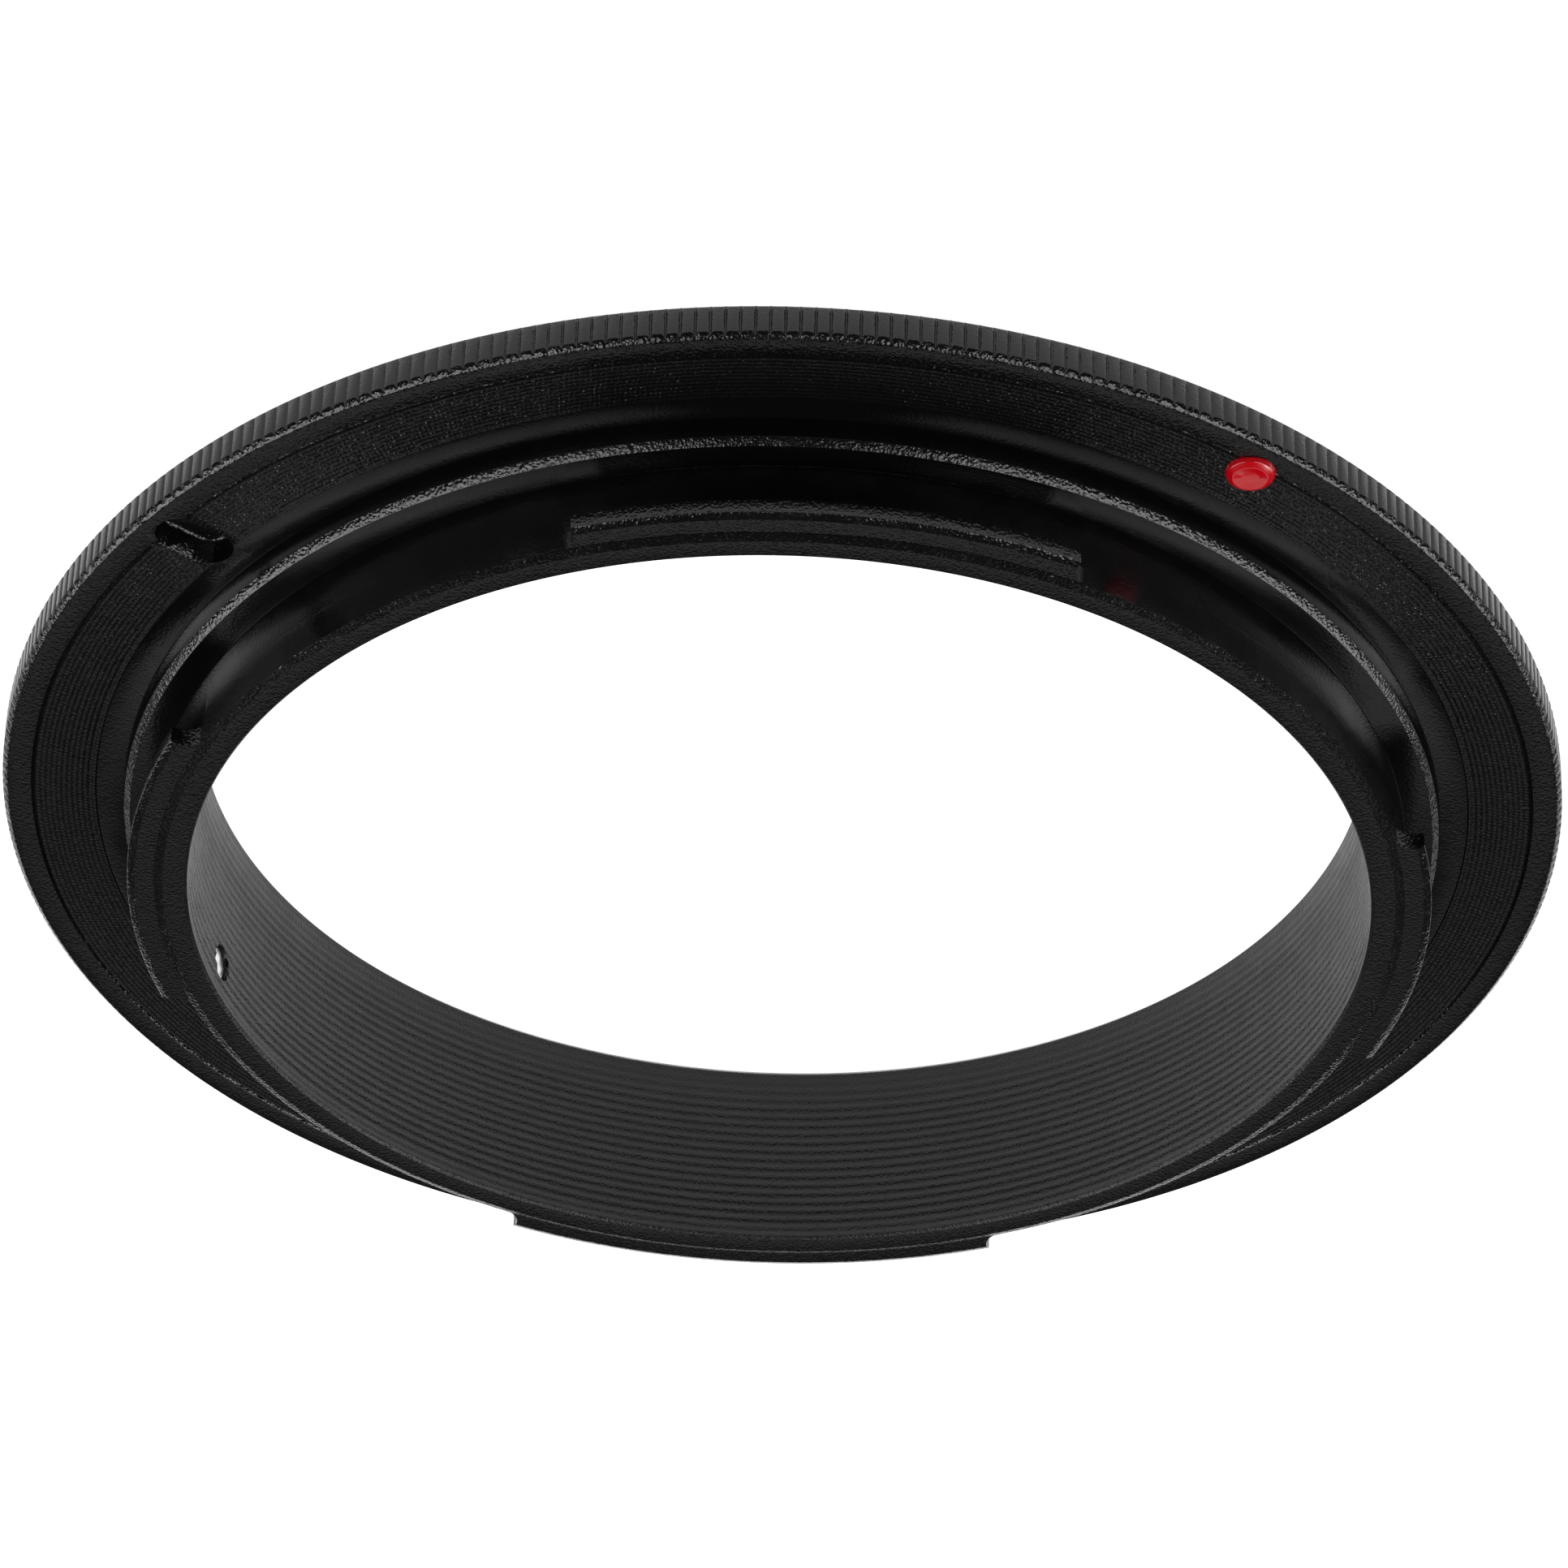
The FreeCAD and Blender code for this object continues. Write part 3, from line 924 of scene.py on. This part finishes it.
class RING_OT_body(bpy.types.Operator):
    """Turn, knurl and mill the aluminium ring"""

    bl_idname = "reverse_ring.body"
    bl_label = "Ring body"

    def execute(self, context):
        scene = context.scene
        turned, lugs, grip, marks = scene.ring_turned, scene.ring_lugs, scene.ring_grip, scene.ring_marks
        finish = scene.ring_finish
        register = turned.tube_radius + lugs.reach + turned.register_step
        band = register + turned.inner_band_width
        groove = band + turned.turned_band_width
        mesh = milled(ring_solid(turned, lugs, grip), milling_cutters(turned, lugs, marks, groove))
        names = ("blasted", "turned", "bore", "grip", "wall")
        grain = finish.grain_height
        materials = [
            anodised("anodised_blasted", finish, finish.blasted_roughness, grain, 1.0),
            anodised("anodised_turned", finish, finish.blasted_roughness, grain * 0.8, 1.1, 0.12),
            anodised("anodised_bore", finish, finish.bore_roughness, grain, 1.4, shine=0.4),
            anodised("anodised_grip", finish, finish.grip_roughness, grain * 0.6, 1.3),
            anodised("anodised_wall", finish, finish.wall_roughness, grain * 0.2, 1.0),
        ]
        piece("ring_metal", mesh, materials, "ring_body")
        for face, kind in finishes_of(mesh, turned, lugs, grip, band, groove):
            face.material_index = names.index(kind)
        return {"FINISHED"}


class RING_OT_dot(bpy.types.Operator):
    """Fill the recess with a domed bead of enamel"""

    bl_idname = "reverse_ring.dot"
    bl_label = "Index dot"

    def execute(self, context):
        scene = context.scene
        marks, turned = scene.ring_marks, scene.ring_turned
        radius = marks.dot_diameter / 2 - DOT_CLEARANCE
        centre = (DOT_LOW + DOT_HIGH) / 2
        top = DOT_HIGH.z
        rim = turned.flange_face + 0.04 * MM
        corners = [
            (0, DOT_LOW.z, 0),
            (radius, DOT_LOW.z, 0),
            (radius, rim, 0.02 * MM),
            (radius * 0.93, rim + (top - rim) * 0.55, 0.05 * MM),
            (radius * 0.7, top + 0.02 * MM, 0.16 * MM),
            (radius * 0.35, top - 0.05 * MM, 0.2 * MM),
            (0, top - 0.06 * MM, 0),
        ]
        bm = spun(eased(corners, 6), DOT_STEPS)
        bmesh.ops.recalc_face_normals(bm, faces=bm.faces)
        bmesh.ops.translate(bm, verts=bm.verts, vec=(centre.x, centre.y, 0))
        check_closed(bm, "index_dot")
        enamel = enamel_material(scene.ring_finish)
        piece("enamel_dot", mesh_of(bm, "dot"), [enamel], "index_dot")
        return {"FINISHED"}


class RING_OT_pin(bpy.types.Operator):
    """Press the steel stop pin into the tube"""

    bl_idname = "reverse_ring.pin"
    bl_label = "Stop pin"

    def execute(self, context):
        scene = context.scene
        marks, turned, lugs = scene.ring_marks, scene.ring_turned, scene.ring_lugs
        inner = turned.bore_radius + marks.pin_recess
        outer = turned.tube_radius + lugs.reach - marks.pin_behind_edge
        radius = marks.pin_diameter / 2 - PIN_CLEARANCE
        chamfer = marks.pin_chamfer
        corners = [
            (0, inner, 0),
            (radius - chamfer, inner, PIN_ROUND),
            (radius, inner + chamfer, PIN_ROUND),
            (radius, outer - chamfer, PIN_ROUND),
            (radius - chamfer, outer, PIN_ROUND),
            (0, outer, 0),
        ]
        bm = spun(eased(corners, 3), PIN_STEPS)
        bmesh.ops.recalc_face_normals(bm, faces=bm.faces)
        bmesh.ops.rotate(bm, verts=bm.verts, cent=CENTRE, matrix=Matrix.Rotation(math.pi / 2, 3, "Y"))
        bmesh.ops.translate(bm, verts=bm.verts, vec=(0, 0, pin_level(turned, lugs, marks)))
        turn = Matrix.Rotation(INDEX_DIRECTION + marks.pin_direction, 3, "Z")
        bmesh.ops.rotate(bm, verts=bm.verts, cent=CENTRE, matrix=turn)
        check_closed(bm, "stop_pin")
        steel = steel_material(scene.ring_finish)
        piece("steel_pin", mesh_of(bm, "pin"), [steel], "stop_pin")
        return {"FINISHED"}


def soft_box(name, first, last, target, width, power):
    """Rectangular soft light from one end to the other, turned towards the ring."""
    light = bpy.data.lights.new(name, "AREA")
    light.shape = "RECTANGLE"
    light.size, light.size_y = (last - first).length, width
    light.energy = power
    middle = (first + last) / 2
    away = (middle - target).normalized()
    along = last - first
    along = (along - away * along.dot(away)).normalized()
    thing = bpy.data.objects.new(name, light)
    turn = Matrix((along, away.cross(along), away)).transposed()
    thing.matrix_world = Matrix.Translation(middle) @ turn.to_4x4()
    bpy.context.scene.collection.objects.link(thing)


class RING_OT_studio(bpy.types.Operator):
    """Set the camera, the pale floor and the soft boxes"""

    bl_idname = "reverse_ring.studio"
    bl_label = "Studio"

    def execute(self, context):
        scene = context.scene
        studio = scene.ring_studio
        bm = bmesh.new()
        bmesh.ops.create_circle(bm, cap_ends=True, segments=64, radius=studio.floor_size)
        bmesh.ops.translate(bm, verts=bm.verts, vec=(0, 0, RING_LOW.z - 0.02 * MM))
        floor = bpy.data.objects.new("floor", mesh_of(bm, "floor"))
        floor.data.materials.append(floor_material(studio))
        scene.collection.objects.link(floor)

        world = bpy.data.worlds.new("room")
        world.use_nodes = True
        world.node_tree.nodes["Background"].inputs["Color"].default_value = (1, 1, 1, 1)
        world.node_tree.nodes["Background"].inputs["Strength"].default_value = studio.sky
        scene.world = world

        direction, elevation = studio.camera_direction, studio.camera_elevation
        back = polar(math.cos(elevation), direction, math.sin(elevation))
        right = Vector((-math.sin(direction), math.cos(direction), 0))
        up = back.cross(right)
        target = Vector((0, 0, scene.ring_turned.flange_face))
        near = Vector((back.x, back.y, 0)).normalized()

        def from_ring(across, towards, height):
            return target + right * across + near * towards + AXIS * height

        for side in (-1, 1):
            first, last = (
                from_ring(side * across, towards, height)
                for across, towards, height in (SIDE_BOX_START, SIDE_BOX_END)
            )
            name = "soft_box_%d" % (side + 1)
            soft_box(name, first, last, target, SIDE_BOX_WIDTH, studio.box_power)
        first, last = from_ring(*FAR_BOX_START), from_ring(*FAR_BOX_END)
        soft_box("far_box", first, last, target, FAR_BOX_WIDTH, studio.far_power)

        camera = bpy.data.objects.new("camera", bpy.data.cameras.new("camera"))
        camera.data.sensor_width = 36
        camera.data.lens = studio.focal_length
        camera.data.clip_start, camera.data.clip_end = 0.01, 20
        turn = Matrix((right, up, back)).transposed() @ Matrix.Rotation(studio.camera_roll, 3, "Z")
        place = target + back * studio.camera_distance - right * studio.camera_right - up * studio.camera_up
        camera.matrix_world = Matrix.Translation(place) @ turn.to_4x4()
        scene.collection.objects.link(camera)
        scene.camera = camera
        scene.view_settings.view_transform = "Standard"
        return {"FINISHED"}


class RING_PT_panel(bpy.types.Panel):
    """Lists the pieces of the ring"""

    bl_label = "Reverse Ring"
    bl_idname = "RING_PT_panel"
    bl_space_type = "VIEW_3D"
    bl_region_type = "UI"
    bl_category = "Reverse Ring"

    def draw(self, context):
        for operator in OPERATORS:
            self.layout.operator(operator.bl_idname)
        for holder in GROUPS:
            box = self.layout.box()
            box.label(text=GROUPS[holder].__doc__)
            settings = getattr(context.scene, holder)
            for field in GROUPS[holder].__annotations__:
                box.prop(settings, field)


GROUPS = {
    "ring_turned": TurnedSizes,
    "ring_lugs": LugSizes,
    "ring_grip": GripSizes,
    "ring_marks": MarkSizes,
    "ring_finish": Finishes,
    "ring_studio": Studio,
}
OPERATORS = (RING_OT_body, RING_OT_dot, RING_OT_pin, RING_OT_studio)


def register():
    for item in (*GROUPS.values(), *OPERATORS, RING_PT_panel):
        bpy.utils.register_class(item)
    for holder, group in GROUPS.items():
        setattr(bpy.types.Scene, holder, bpy.props.PointerProperty(type=group))


def unregister():
    for holder in GROUPS:
        delattr(bpy.types.Scene, holder)
    for item in reversed((*GROUPS.values(), *OPERATORS, RING_PT_panel)):
        bpy.utils.unregister_class(item)


def main():
    """Build everything in order."""
    register()
    bpy.ops.reverse_ring.body()
    bpy.ops.reverse_ring.dot()
    bpy.ops.reverse_ring.pin()
    bpy.ops.reverse_ring.studio()


if __name__ == "__main__":
    main()
